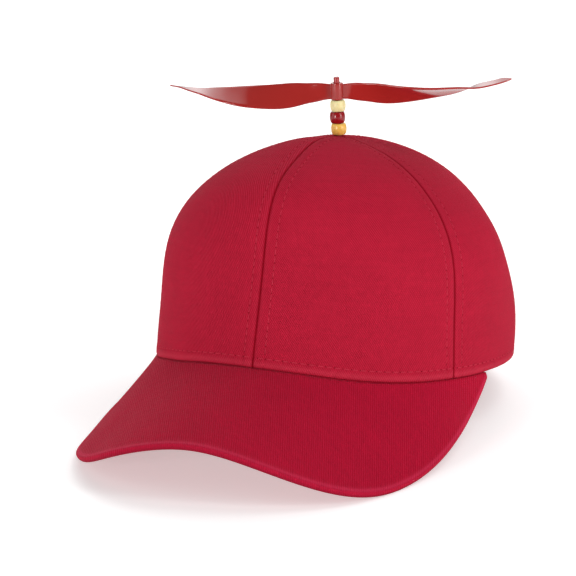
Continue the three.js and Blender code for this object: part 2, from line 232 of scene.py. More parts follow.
def make(name, points, faces, materials, flat_map=None, marks=None, face_materials=None, smooth_shade=True):
    """A mesh object in the row frame. flat_map is a UV point per vertex, marks a dict of numbers per vertex."""
    mesh = bpy.data.meshes.new(name)
    mesh.from_pydata(np.asarray(points, float).tolist(), [], [list(map(int, f)) for f in faces])
    if smooth_shade:
        mesh.polygons.foreach_set("use_smooth", np.ones(len(mesh.polygons), bool))
    if flat_map is not None:
        loops = np.zeros(len(mesh.loops), np.int32)
        mesh.loops.foreach_get("vertex_index", loops)
        layer = mesh.uv_layers.new(name="flat")
        layer.data.foreach_set("uv", np.asarray(flat_map, np.float32)[loops].ravel())
    for mark, values in (marks or {}).items():
        layer = mesh.attributes.new(mark, "FLOAT", "POINT")
        layer.data.foreach_set("value", np.asarray(values, np.float32).ravel())
    for material in materials:
        mesh.materials.append(material)
    if face_materials is not None:
        mesh.polygons.foreach_set("material_index", np.asarray(face_materials, np.int32))
    mesh.update()
    made = bpy.data.objects.new(name, mesh)
    scene.collection.objects.link(made)
    return made


def place(piece, body, slot, *nodes):
    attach(piece, body)
    if nodes:
        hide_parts(*nodes)
    return piece


def surface_area(piece):
    return sum(p.area for p in piece.data.polygons)


# ---- materials ---------------------------------------------------------------
def new_material(name):
    material = bpy.data.materials.new(name)
    material.use_nodes = True
    nodes, links = material.node_tree.nodes, material.node_tree.links
    shader = next(n for n in nodes if n.type == "BSDF_PRINCIPLED")
    return material, nodes, links, shader


def math_node(nodes, links, kind, a, b=None):
    node = nodes.new("ShaderNodeMath")
    node.operation = kind
    for socket, value in ((node.inputs[0], a), (node.inputs[1], b)):
        if value is None:
            continue
        if isinstance(value, (int, float)):
            socket.default_value = value
        else:
            links.new(value, socket)
    return node.outputs[0]


def spread(nodes, links, value, low, high):
    """Maps 0..1 to low..high."""
    node = nodes.new("ShaderNodeMapRange")
    node.inputs["To Min"].default_value = low
    node.inputs["To Max"].default_value = high
    links.new(value, node.inputs["Value"])
    return node.outputs["Result"]


def mix_colours(nodes, links, share, a, b, kind="MIX"):
    node = nodes.new("ShaderNodeMix")
    node.data_type = "RGBA"
    node.blend_type = kind
    if isinstance(share, (int, float)):
        node.inputs["Factor"].default_value = share
    else:
        links.new(share, node.inputs["Factor"])
    for socket, value in ((node.inputs[6], a), (node.inputs[7], b)):
        if isinstance(value, tuple):
            socket.default_value = (*value, 1)
        else:
            links.new(value, socket)
    return node.outputs[2]


def noise(nodes, links, vector, scale, detail=2.0, rough=0.5):
    node = nodes.new("ShaderNodeTexNoise")
    node.inputs["Scale"].default_value = scale
    node.inputs["Detail"].default_value = detail
    node.inputs["Roughness"].default_value = rough
    links.new(vector, node.inputs["Vector"])
    return node.outputs["Fac"]


def stripes(nodes, links, vector, turn, period, wobble, profile="SIN"):
    """Lines across the flat map, whose unit is 100 mm: 0..1 across each line."""
    mapping = nodes.new("ShaderNodeMapping")
    mapping.inputs["Rotation"].default_value[2] = turn
    links.new(vector, mapping.inputs["Vector"])
    wave = nodes.new("ShaderNodeTexWave")
    wave.wave_type, wave.bands_direction, wave.wave_profile = "BANDS", "X", profile
    wave.inputs["Scale"].default_value = math.pi / 10 / (period / 100)
    wave.inputs["Distortion"].default_value = wobble
    wave.inputs["Detail"].default_value = 2
    wave.inputs["Detail Scale"].default_value = 0.6
    links.new(mapping.outputs["Vector"], wave.inputs["Vector"])
    return wave.outputs["Fac"]


def cloth(name, light, dark, turn, pitch, depth, sheen=0.045, grain=0.22):
    """Twill: steep lines of yarn, short floats along each line, uneven dye and a soft nap. Marks per vertex paint light
    and shade into the colour: lighter ridges and bands (partly wear, partly painted highlight), a darker visor roll
    and underside (painted shade), and dark seams, stitch rows and rim line (painted shade)."""
    material, nodes, links, shader = new_material(name)
    coords = nodes.new("ShaderNodeTexCoord")
    flat, place_in = coords.outputs["UV"], coords.outputs["Object"]
    wale = stripes(nodes, links, flat, turn, pitch, 0.5)
    floats = stripes(nodes, links, flat, turn + 62 * RAD, pitch * 0.62, 0.8)
    weave = math_node(nodes, links, "MULTIPLY", wale, spread(nodes, links, floats, 0.5, 1.0))
    wear = noise(nodes, links, place_in, 130, 2)
    clear = spread(nodes, links, wear, 0.25, 1.25)
    weave = math_node(nodes, links, "ADD", 0.375, math_node(nodes, links, "MULTIPLY", clear, math_node(nodes, links, "SUBTRACT", weave, 0.375)))
    fibre = noise(nodes, links, place_in, 2600, 2)
    dye = noise(nodes, links, place_in, 42, 4, 0.6)
    slub = noise(nodes, links, place_in, 330, 3, 0.6)
    colour = mix_colours(nodes, links, weave, dark, light)
    tone = math_node(nodes, links, "MULTIPLY", spread(nodes, links, dye, 0.93, 1.07), spread(nodes, links, slub, 0.9, 1.1))
    tone = math_node(nodes, links, "MULTIPLY", tone, spread(nodes, links, fibre, 1 - grain, 1 + grain))
    weft = nodes.new("ShaderNodeMapping")
    weft.inputs["Scale"].default_value = (2.5, 42, 1)
    links.new(flat, weft.inputs["Vector"])
    streak = noise(nodes, links, weft.outputs["Vector"], 1, 2)
    tone = math_node(nodes, links, "MULTIPLY", tone, spread(nodes, links, streak, 0.93, 1.07))
    grey = nodes.new("ShaderNodeCombineColor")
    for i in range(3):
        links.new(tone, grey.inputs[i])
    colour = mix_colours(nodes, links, 1.0, colour, grey.outputs["Color"], "MULTIPLY")
    worn_and_highlight, under_shade, crease = (nodes.new("ShaderNodeAttribute") for _ in range(3))
    worn_and_highlight.attribute_name, under_shade.attribute_name, crease.attribute_name = "worn_and_highlight", "under_shade", "crease"
    # lighter colour where marked: partly wear, partly a painted highlight on ridges and on the bands by the rim and
    # seams
    colour = mix_colours(nodes, links, worn_and_highlight.outputs["Fac"], colour, (1.22 * light[0], 2.65 * light[1], 1.63 * light[2]))
    # darker colour where marked: painted shade on the visor roll's lower half and underside
    colour = mix_colours(nodes, links, under_shade.outputs["Fac"], colour, (0.55 * dark[0], 1.7 * dark[1], dark[2]))
    # dark red where marked: painted shade in the seam grooves, along the stitch rows and on the line where the crown
    # meets the visor
    colour = mix_colours(nodes, links, crease.outputs["Fac"], colour, (0.72 * dark[0], 0.05 * dark[1], 0.5 * dark[2]))
    links.new(colour, shader.inputs["Base Color"])
    links.new(spread(nodes, links, slub, 0.8, 0.97), shader.inputs["Roughness"])
    shader.inputs["Specular IOR Level"].default_value = 0.05
    shader.inputs["Sheen Weight"].default_value = sheen
    shader.inputs["Sheen Roughness"].default_value = 0.35
    shader.inputs["Sheen Tint"].default_value = (1.0, 0.44, 0.53, 1)
    height = math_node(nodes, links, "ADD", weave, math_node(nodes, links, "MULTIPLY", fibre, 0.5))
    height = math_node(nodes, links, "ADD", height, math_node(nodes, links, "MULTIPLY", slub, 0.8))
    bump = nodes.new("ShaderNodeBump")
    bump.inputs["Strength"].default_value = 0.55
    bump.inputs["Distance"].default_value = depth / 1000
    links.new(height, bump.inputs["Height"])
    links.new(bump.outputs["Normal"], shader.inputs["Normal"])
    return material


def plastic(name, light, dark, rough, coat, ior, swirl, scratch=0.0, subsurface=0.0):
    """Moulded plastic: slightly uneven pigment, a gloss that varies a little, faint flow marks."""
    material, nodes, links, shader = new_material(name)
    coords = nodes.new("ShaderNodeTexCoord")
    place_in = coords.outputs["Object"]
    pigment = noise(nodes, links, place_in, swirl, 3, 0.55)
    links.new(mix_colours(nodes, links, pigment, dark, light), shader.inputs["Base Color"])
    smear = noise(nodes, links, place_in, swirl * 4, 4, 0.6)
    links.new(spread(nodes, links, smear, rough * 0.7, rough * 1.4), shader.inputs["Roughness"])
    shader.inputs["IOR"].default_value = ior
    shader.inputs["Coat Weight"].default_value = coat
    shader.inputs["Coat Roughness"].default_value = 0.04
    if subsurface:
        shader.inputs["Subsurface Weight"].default_value = subsurface
        shader.inputs["Subsurface Radius"].default_value = (1.0, 0.5, 0.3)
        shader.inputs["Subsurface Scale"].default_value = 0.0018
    waves = noise(nodes, links, place_in, 70, 2)
    bump = nodes.new("ShaderNodeBump")
    bump.inputs["Strength"].default_value = 0.25
    bump.inputs["Distance"].default_value = 0.00025 + scratch
    links.new(waves, bump.inputs["Height"])
    links.new(bump.outputs["Normal"], shader.inputs["Normal"])
    return material


# the crown's and visor's twill are copies of one cloth: the crown's extra yellow is a painted sheen from the front
# lights, and the visor's deeper colour is painted shade
CROWN_CLOTH = cloth("crown_twill", (0.580, 0.0255, 0.069), (0.378, 0.0036, 0.0168), -34 * RAD, 0.95, 0.9)
VISOR_CLOTH = cloth("visor_twill", (0.482, 0.0100, 0.047), (0.390, 0.0030, 0.0195), -23.6 * RAD, 1.05, 0.75, 0.1, 0.42)
THREAD = cloth("sewing_thread", (0.60, 0.043, 0.080), (0.50, 0.029, 0.058), 45 * RAD, 0.6, 0.05)
# dark red at the needle holes: painted shade of the holes and of the raised stitches beside them
HOLE_SHADE = cloth("needle_hole_shade", (0.24, 0.002, 0.012), (0.19, 0.002, 0.010), 45 * RAD, 0.6, 0.05, 0.0)
PROPELLER_RED = plastic("propeller_gloss", (0.40, 0.022, 0.018), (0.35, 0.018, 0.015), 0.09, 0.0, 1.52, 38)
POST_RED = plastic("post_gloss", (0.42, 0.020, 0.020), (0.34, 0.013, 0.014), 0.2, 0.0, 1.55, 160)
BEAD_YELLOW = plastic("bead_yellow_gloss", (0.87, 0.78, 0.41), (0.83, 0.75, 0.37), 0.26, 0.0, 1.45, 240, 0, 0.25)
BEAD_RED = plastic("bead_red_gloss", (0.34, 0.006, 0.010), (0.27, 0.004, 0.008), 0.2, 0.0, 1.48, 240)
BEAD_ORANGE = plastic("bead_orange_gloss", (0.99, 0.63, 0.135), (0.98, 0.58, 0.11), 0.22, 0.0, 1.48, 240, 0, 0.25)

# ---- crown surface -----------------------------------------------------------
ups = CROWN_PROFILE[:, 0] * RAD
profile_front, profile_side, profile_back = (smooth(ups, CROWN_PROFILE[:, i], None, 0) for i in (1, 2, 3))


def rim_radius(turn):
    c = np.cos(turn)
    return 1 / np.hypot(c / np.where(c > 0, CROWN_FRONT, CROWN_BACK), np.sin(turn) / CROWN_SIDE)


def rim_height(turn):
    return (
        RIM_SIDE_Z
        + RIM_LIFT * step(-5 * RAD, 24 * RAD, -turn) * (1 - step(36 * RAD, 58 * RAD, -turn))
        + (RIM_FRONT_Z - RIM_SIDE_Z) * np.exp(-((turn / RIM_FRONT_SPREAD) ** 2))
        + (RIM_BACK_Z - RIM_SIDE_Z) * np.maximum(-np.cos(turn), 0) ** 4
    )


def crown_point(turn, up):
    c = np.cos(turn)
    front = np.where(c > 0, c * c, 0)
    back = np.where(c < 0, 1 - np.exp(-c * c / BACK_SPREAD), 0)
    stand = front * profile_front(up) + back * profile_back(up) + (1 - front - back) * profile_side(up)
    rim = rim_height(turn)
    r = rim_radius(turn) * stand * np.cos(up)
    return np.stack([r * np.sin(turn), -r * c, rim + (CROWN_HEIGHT - rim) * stand * np.sin(up)], -1)


def crown_normal(turn, up):
    e = 0.004
    return unit(np.cross(
        crown_point(turn + e, up) - crown_point(turn - e, up),
        crown_point(turn, up + e) - crown_point(turn, up - e),
    ))


# ---- crown panels -----------------------------------------------------------
class Panel:
    """One crown panel between two seams. Places on it are a share of the way
    across and a height in mm along the cloth from the rim edge."""

    def __init__(self, name, seam_a, seam_b, stitch_a=SEAM_STITCH, stitch_b=SEAM_STITCH):
        self.name, self.seam_a, self.seam_b = name, seam_a, seam_b
        self.stitch_a, self.stitch_b = stitch_a, stitch_b
        middle = (seam_a(0.0) + seam_b(0.0)) / 2
        top = math.acos(POST_HOLE_R / rim_radius(middle))
        self.ups = np.linspace(0, top, 1200)
        line = crown_point(np.full(1200, middle), self.ups)
        self.runs = np.concatenate([[0], np.cumsum(np.linalg.norm(np.diff(line, axis=0), axis=1))])
        self.length = self.runs[-1]
        self.radii = np.maximum(np.hypot(line[:, 0], line[:, 1]), POST_HOLE_R)
        shares = np.linspace(0, 1, 33)
        a, b = seam_a(self.ups)[:, None], seam_b(self.ups)[:, None]
        lines = crown_point(a + (b - a) * shares, np.repeat(self.ups[:, None], 33, 1))
        self.widths = np.linalg.norm(np.diff(lines, axis=1), axis=2).sum(1)

    def width(self, run):
        return np.interp(run, self.runs, self.widths)

    def base(self, share, run):
        up = np.interp(run, self.runs, self.ups)
        past = SEAM_LAP / np.interp(run, self.runs, self.radii)
        a, b = self.seam_a(up) - past, self.seam_b(up) + past
        turn = a + (b - a) * share
        point, normal = crown_point(turn, up), crown_normal(turn, up)
        rim = crown_point(turn, np.zeros_like(turn))
        below = np.maximum(REST_LEVEL - rim @ UPRIGHT, 0)
        point = point + UPRIGHT * (below * np.maximum(1 - run / 25, 0) ** 2)[..., None]
        over_visor = 1 - step(VISOR_END - 4 * RAD, VISOR_END + 2 * RAD, np.abs(turn))
        point[..., 2] -= RIM_CLOSE * over_visor * np.maximum(1 - run / 8, 0) ** 2
        return point, normal

    def relief(self, share, run, point):
        """How far the sewn cloth stands off the plain surface."""
        width = self.width(run)
        wide = step(8, 24, width)
        off = (0.2 + 0.16 * unevenness(point, 26)) * wide
        for near, row in ((share * width, self.stitch_a), ((1 - share) * width, self.stitch_b)):
            stitch = np.minimum(row, 0.32 * width)
            off = off - SEAM_DEPTH * np.exp(-((near / 0.55) ** 2))
            off = off - 0.48 * wide * hill(near, 0, 5)
            off = off + 0.17 * wide * (step(0.5, 1.8, near) - step(stitch - 1.1, stitch + 0.1, near))
            beat = 0.5 + 0.5 * np.cos(2 * math.pi * (run - 7) / SEAM_PITCH)
            off = off - wide * (0.1 + 0.05 * beat) * hill(near, stitch, 0.5)
            off = off + 0.04 * wide * (0.5 - beat) * hill(near, stitch, 2.2)
            off = off + 0.05 * wide * np.sin(run / 5.3 + 1.7 * np.sin(run / 17)) * hill(near, 2.5, 2.5)
        beat = 0.5 + 0.5 * np.cos(2 * math.pi * (share * width - 2) / RIM_PITCH)
        off = off + 0.2 * (step(0.4, 1.6, run) - step(RIM_STITCH - 1.3, RIM_STITCH, run))
        off = off - (0.1 + 0.08 * beat) * hill(run, RIM_STITCH, 0.5)
        off = off + 0.06 * (0.5 - beat) * hill(run, RIM_STITCH, 2.6)
        turn_in = 1 - np.clip(run / 0.9, 0, 1)
        return off - 0.8 * (1 - np.sqrt(np.maximum(1 - turn_in**2, 0)))

    def face(self, share, run):
        point, normal = self.base(share, run)
        return point + normal * self.relief(share, run, point)[..., None], normal

    def build(self):
        runs = np.concatenate([
            [0, 0.1, 0.28, 0.5, 0.75, 1.1, 1.6, 2.2, 2.8, 3.3, 3.8, 4.2, 4.6, 5.0, 5.4, 5.8, 6.3, 6.9],
            np.linspace(7.6, self.length, int((self.length - 7.6) / 0.74) + 1),
        ])
        near = np.array([0, .18, .36, .55, .75, 1.0, 1.3, 1.7, 2.2, 2.9, 3.6, 4.2, 4.6, 4.95, 5.25, 5.6, 5.95, 6.25, 6.7, 7.4, 8.4, 10])
        width = self.width(runs)[:, None]
        left = near[None, :] * np.minimum(1, 0.46 * width / near[-1]) / width
        across = np.linspace(0, 1, 36)[None, 1:-1]
        centre = left[:, -1:] + (1 - 2 * left[:, -1:]) * across
        share = np.concatenate([left, centre, 1 - left[:, ::-1]], 1)
        run = np.repeat(runs[:, None], share.shape[1], 1)
        point, normal = self.base(share, run)
        outer = point + normal * self.relief(share, run, point)[..., None]
        turn_in = 1 - np.clip(run / 0.9, 0, 1)
        back_in = CROWN_WALL - 0.5 * (1 - np.sqrt(np.maximum(1 - turn_in**2, 0)))
        inner = point - normal * back_in[..., None]
        level = (point - inner) @ UPRIGHT
        inner = inner + UPRIGHT * (level * np.maximum(1 - run / 6, 0))[..., None]
        rows, cols = share.shape
        count = rows * cols
        faces = [grid_faces(rows, cols), grid_faces(rows, cols, count, flip=True)]
        edge = np.arange(rows) * cols
        for column, turned in ((0, True), (cols - 1, False)):
            o = edge + column
            i = o + count
            strip = np.stack([o[:-1], o[1:], i[1:], i[:-1]], -1)
            faces.append(strip[:, ::-1] if turned else strip)
        for row, turned in ((0, False), (rows - 1, True)):
            o = row * cols + np.arange(cols)
            i = o + count
            strip = np.stack([o[:-1], i[:-1], i[1:], o[1:]], -1)
            faces.append(strip[:, ::-1] if turned else strip)
        side_a, side_b = share * width, (1 - share) * width
        wide = step(8, 24, width)
        # painted shade: darker in the seam grooves, faintly along the stitch rows, and along the rim edge where it sits
        # on the visor
        crease = hill(side_a, 0, 0.62) + hill(side_b, 0, 0.62)
        # lighter bands by the rim and beside the seams: partly wear, partly a painted highlight
        worn_and_highlight = 0.22 * hill(run, 2.0, 1.3)
        for near, row in ((side_a, self.stitch_a), (side_b, self.stitch_b)):
            crease = crease + 0.05 * wide * hill(near, np.minimum(row, 0.32 * width), 0.4)
            worn_and_highlight = worn_and_highlight + 0.04 * wide * hill(near, 1.6, 1.0)
        crease = crease + 0.06 * hill(run, RIM_STITCH, 0.45) + 0.55 * hill(run, 0, 0.5)
        crease = np.clip(np.concatenate([crease.ravel(), np.zeros(count)]), 0, 0.95)
        flat = np.stack([(share - 0.5) * width, run], -1).reshape(-1, 2) / 100
        points = np.concatenate([in_row(outer).reshape(-1, 3), in_row(inner).reshape(-1, 3)])
        return make(
            self.name, points, np.concatenate(faces), [CROWN_CLOTH],
            flat_map=np.concatenate([flat, flat]),
            marks={"crease": crease, "worn_and_highlight": np.concatenate([worn_and_highlight.ravel(), np.zeros(count)])},
        )


def seam_centre(up):
    return np.zeros_like(np.asarray(up, float))


def seam_front_side(up):
    return (63.44 + 1.99 * np.sin(2 * np.asarray(up, float))) * RAD


def seam_side_back(up):
    return np.full_like(np.asarray(up, float), 121.5 * RAD)


def seam_back(up):
    return np.full_like(np.asarray(up, float), math.pi)


def mirrored(seam):
    return lambda up: -seam(up)


panels = [
    Panel("front_left_cloth", seam_centre, seam_front_side, stitch_a=FRONT_STITCH[0]),
    Panel("front_right_cloth", mirrored(seam_front_side), seam_centre, stitch_b=FRONT_STITCH[1]),
    Panel("side_left_cloth", seam_front_side, seam_side_back),
    Panel("side_right_cloth", mirrored(seam_side_back), mirrored(seam_front_side)),
    Panel("back_left_cloth", seam_side_back, seam_back),
    Panel("back_right_cloth", mirrored(seam_back), mirrored(seam_side_back)),
]
for panel in panels:
    piece = panel.build()
    place(piece, "cap", "crown_cloth", "panel_" + panel.name.replace("_cloth", ""))

# ---- stitches -----------------------------------------------------------------
stitch_points, stitch_faces, stitch_kinds = [], [], []
stitch_count = 0


def sew(panel, shares, runs, hole_shade_size):
    """Stitches along paths on a panel: arrays of 7 places for each stitch, and the half
    length of the dark discs of painted shade at the needle holes between them."""
    global stitch_count
    point, normal = panel.face(shares, runs)
    number, rings = shares.shape
    q = np.linspace(0, 1, rings)
    lift = -0.24 + 0.25 * np.sin(math.pi * q) ** 0.5
    middle = point + normal * lift[None, :, None]
    along = unit(np.gradient(middle, axis=1))
    side = unit(np.cross(normal, along))
    upward = np.cross(along, side)
    thick = THREAD_R * (0.75 + 0.25 * np.sin(math.pi * q))
    angle = np.arange(6) / 6 * 2 * math.pi
    ring = middle[:, :, None, :] + thick[None, :, None, None] * (
        np.cos(angle)[None, None, :, None] * side[:, :, None, :] + np.sin(angle)[None, None, :, None] * upward[:, :, None, :]
    )
    stitch_points.append(in_row(ring).reshape(-1, 3))
    tube = grid_faces(rings, 6, closed=True)
    ends = [list(range(5, -1, -1)), list(range((rings - 1) * 6, rings * 6))]
    for k in range(number):
        first = stitch_count + k * rings * 6
        stitch_faces.extend((tube + first).tolist())
        stitch_faces.extend([[v + first for v in end] for end in ends])
    stitch_kinds.extend([0] * (number * (len(tube) + 2)))
    stitch_count += number * rings * 6
    # at the start of each stitch a small dark disc on the cloth: painted shade standing for the shadow in the needle
    # holes
    a = np.arange(8) / 8 * 2 * math.pi
    levels = [(1.0, -0.05), (0.86, 0.05), (0.5, 0.09)]
    centre = point[:, 0] - 0.1 * (point[:, 1] - point[:, 0])
    rows = []
    for size, height in levels:
        rows.append(
            centre[:, None, :]
            + size * hole_shade_size * (np.cos(a)[None, :, None] * along[:, :1] + 0.8 * np.sin(a)[None, :, None] * side[:, :1])
            + height * normal[:, :1]
        )
    dots = np.stack(rows, 1)
    stitch_points.append(in_row(dots).reshape(-1, 3))
    band = grid_faces(3, 8, closed=True)
    for k in range(number):
        first = stitch_count + k * 24
        stitch_faces.extend((band + first).tolist())
        stitch_faces.append([first + 16 + v for v in range(8)])
        stitch_faces.append([first + v for v in range(7, -1, -1)])
    stitch_kinds.extend([1] * (number * (len(band) + 2)))
    stitch_count += number * 24


reach = 0.08 + 0.84 * np.linspace(0, 1, 7)
for panel in panels:
    starts = np.arange(7.0, panel.length - 5, SEAM_PITCH)
    runs = starts[:, None] + reach[None, :] * SEAM_PITCH
    wide = panel.width(runs)
    sew(panel, np.minimum(panel.stitch_a, 0.32 * wide) / wide, runs, 0.42)
    sew(panel, 1 - np.minimum(panel.stitch_b, 0.32 * wide) / wide, runs, 0.42)
    wide = float(panel.width(RIM_STITCH))
    starts = np.arange(2.0, wide - 3.2, RIM_PITCH)
    shares = (starts[:, None] + reach[None, :] * RIM_PITCH) / wide
    sew(panel, shares, np.full_like(shares, RIM_STITCH), 0.54)
stitching = make("crown_stitching", np.concatenate(stitch_points), stitch_faces, [THREAD, HOLE_SHADE], face_materials=stitch_kinds)
place(stitching, "cap", "crown_cloth")

# ---- visor --------------------------------------------------------------------


def rim_edge(turn):
    r = rim_radius(turn)
    return np.stack([r * np.sin(turn), -r * np.cos(turn), rim_height(turn) - 0.35], -1)


visor_end = rim_edge(np.array(VISOR_END)) + np.array([
    VISOR_END_OUT * math.sin(VISOR_END), -VISOR_END_OUT * math.cos(VISOR_END), -VISOR_END_DROP])
visor_end_turn = math.atan2(visor_end[0], VISOR_CENTRE_Y - visor_end[1])
alongs = np.append(VISOR_EDGE[:, 0], 1)
visor_end_reach = math.hypot(visor_end[0], visor_end[1] - VISOR_CENTRE_Y)
reach_left, height_left, reach_right, height_right = (
    smooth(alongs, np.append(VISOR_EDGE[:, i], end), 0)
    for i, end in ((1, visor_end_reach), (2, visor_end[2]), (3, visor_end_reach), (4, visor_end[2])))


def visor_top(along, out):
    a = np.abs(along)
    turn = along * visor_end_turn
    r = np.where(along < 0, reach_right(a), reach_left(a))
    z = np.where(along < 0, height_right(a), height_left(a))
    edge = np.stack([r * np.sin(turn), VISOR_CENTRE_Y - r * np.cos(turn), z], -1)
    inner = rim_edge(along * VISOR_END)
    return inner + (edge - inner) * np.asarray(out)[..., None]


def visor_normal(along, out):
    e = 0.004
    across = visor_top(along + e, out) - visor_top(along - e, out)
    outward = visor_top(along, np.ones_like(out)) - visor_top(along, np.zeros_like(out))
    return -unit(np.cross(across, outward))


def build_visor():
    cols, top_rows, bottom_rows, roll = 241, 62, 34, 13
    share = np.linspace(-1, 1, cols)
    along = share * (1 - 0.06 * (1 - share**2))
    inner = visor_top(along, np.zeros(cols))
    edge = visor_top(along, np.ones(cols))
    length = np.linalg.norm(edge - inner, axis=1)
    half = VISOR_THICK / 2
    flat = np.maximum(length - half, 0.4) / length
    under = np.stack([-np.sin(along * VISOR_END), np.cos(along * VISOR_END), np.zeros(cols)], -1)
    rows = [inner + under * CROWN_WALL]
    rim_contact_shade, ridge_wear_and_highlight, roll_underside_shade = [np.full(cols, 1.0)], [np.zeros(cols)], [np.zeros(cols)]
    q = np.linspace(0, 1, top_rows)
    q = 0.55 * q + 0.45 * (0.5 - 0.5 * np.cos(math.pi * q))
    q = np.concatenate([[0, 0.004, 0.008, 0.013], q[1:]])
    for share_out in q:
        out = flat * share_out
        point, normal = visor_top(along, out), visor_normal(along, out)
        to_edge = (flat - out) * length
        from_crown = out * length
        lip = 0.2 * hill(to_edge, 0, 2.4) - 0.1 * hill(to_edge, 5.0, 2.0)
        soft = 0.14 * unevenness(point, 30) * step(2, 12, from_crown) * step(1, 12, to_edge)
        rows.append(point + normal * (lip * step(0, 8, length) + soft)[:, None])
        # painted shade on the visor just under the crown's rim
        rim_contact_shade.append(hill(from_crown, 0, 0.75))
        # lighter along the visor's edge ridge: partly wear, partly a painted highlight
        ridge_wear_and_highlight.append(0.72 * hill(to_edge, 1.0, 1.3) * step(0, 8, length))
        roll_underside_shade.append(np.zeros(cols))
    point, normal = visor_top(along, flat), visor_normal(along, flat)
    outward = unit(edge - inner)
    middle = point - normal * half
    for turn in np.linspace(0, math.pi, roll)[1:-1]:
        # lighter over the roll's upper half: partly wear, partly a painted highlight
        ridge_wear_and_highlight.append(0.2 * step(0, 8, length) * max(math.cos(turn), 0))
        # painted shade over the roll's lower half
        roll_underside_shade.append(np.full(cols, 0.7 * float(step(0.55, 1.8, turn))))
        tall = (half + 0.2 * step(0, 8, length)) if turn < math.pi / 2 else np.full(cols, half)
        rows.append(middle + normal * (tall * math.cos(turn))[:, None] + outward * (half * math.sin(turn)))
    for share_out in np.linspace(1, 0, bottom_rows):
        out = flat * share_out
        rows.append(visor_top(along, out) - visor_normal(along, out) * VISOR_THICK)
    rim_contact_shade += [np.zeros(cols)] * (len(rows) - len(rim_contact_shade))
    ridge_wear_and_highlight += [np.zeros(cols)] * (len(rows) - len(ridge_wear_and_highlight))
    # painted shade, lighter, over the whole underside
    roll_underside_shade += [np.full(cols, 0.25)] * (len(rows) - len(roll_underside_shade))
    rings, rim_contact_shade, ridge_wear_and_highlight, roll_underside_shade = (np.stack(part, 1) for part in (rows, rim_contact_shade, ridge_wear_and_highlight, roll_underside_shade))
    # the two ends are closed by small rounded corners
    ends = []
    for column, sign in ((0, -1), (-1, 1)):
        ring = rings[column]
        centre = ring.mean(0)
        way = unit(visor_top(np.array([sign * 1.0]), np.array([0.5])) - visor_top(np.array([sign * 0.985]), np.array([0.5])))[0]
        steps = [centre + (ring - centre) * math.cos(a) + way * 0.8 * math.sin(a) for a in np.array([18, 36, 54, 70, 82]) * RAD]
        ends.append(steps)
    rings = np.concatenate([np.stack(ends[0][::-1]), rings, np.stack(ends[1])])
    count, n = rings.shape[:2]
    faces = grid_faces(count, n, closed=True).tolist()
    centres = [rings[0].mean(0), rings[-1].mean(0)]
    points = np.concatenate([rings.reshape(-1, 3), np.array(centres)])
    a, last = count * n, (count - 1) * n
    for k in range(n):
        faces.append([(k + 1) % n, k, a])
        faces.append([last + k, last + (k + 1) % n, a + 1])
    flat_map = points[:, :2] / 100
    crease, worn_and_highlight, under_shade = (np.zeros((count, n)) for _ in range(3))
    crease[5:-5], worn_and_highlight[5:-5], under_shade[5:-5] = 0.65 * rim_contact_shade, ridge_wear_and_highlight, roll_underside_shade
    marks = {mark: np.append(part.ravel(), [0, 0]) for mark, part in (("crease", crease), ("worn_and_highlight", worn_and_highlight), ("under_shade", under_shade))}
    return make("visor_cloth", in_row(points), faces, [VISOR_CLOTH], flat_map=flat_map, marks=marks)


visor = build_visor()
place(visor, "cap", "visor_cloth", "visor")
print(f"visor: half surface {surface_area(visor) / 2:.5f} m2")

# ---- post, beads ---------------------------------------------------------------


def turned(name, profile, material, segments=72):
    """A body turned about the post's axis from a closed row of (radius, height)."""
    profile = np.asarray(profile, float)
    angle = np.arange(segments) / segments * 2 * math.pi
    points = np.stack([
        profile[:, 0][:, None] * np.cos(angle), profile[:, 0][:, None] * np.sin(angle),
        np.repeat(profile[:, 1][:, None], segments, 1)], -1)
    rows = len(profile)
    return points.reshape(-1, 3), grid_faces(rows, segments, closed=True)


def rounded(corners, radius, steps=5):
    """A row of corners (r, z), each inner corner replaced by a small arc."""
    corners = np.asarray(corners, float)
    row = [corners[0]]
    for before, corner, after in zip(corners[:-2], corners[1:-1], corners[2:]):
        a, b = before - corner, after - corner
        r = min(radius, 0.45 * np.linalg.norm(a), 0.45 * np.linalg.norm(b))
        start, end = corner + unit(a) * r, corner + unit(b) * r
        for q in np.linspace(0, 1, steps):
            row.append((1 - q) ** 2 * start + 2 * q * (1 - q) * corner + q * q * end)
    return np.array(row + [corners[-1]])


post_points, post_faces = turned("post", np.concatenate([
    [[0.02, POST_DISC_Z]],
    rounded([
        (0.02, POST_DISC_Z), (POST_DISC_R, POST_DISC_Z), (POST_DISC_R, POST_DISC_Z + POST_DISC_THICK),
        (POST_R, POST_DISC_Z + POST_DISC_THICK), (POST_R, POST_TOP), (0.02, POST_TOP)], 0.6, 8)[1:],
]), POST_RED, 56)
post_faces = post_faces.tolist()
post_faces += [list(range(55, -1, -1)), list(range(len(post_points) - 56, len(post_points)))]
post = make("post_pin", on_mast(post_points), post_faces, [POST_RED])
place(post, "cap", "post_plastic", "post")

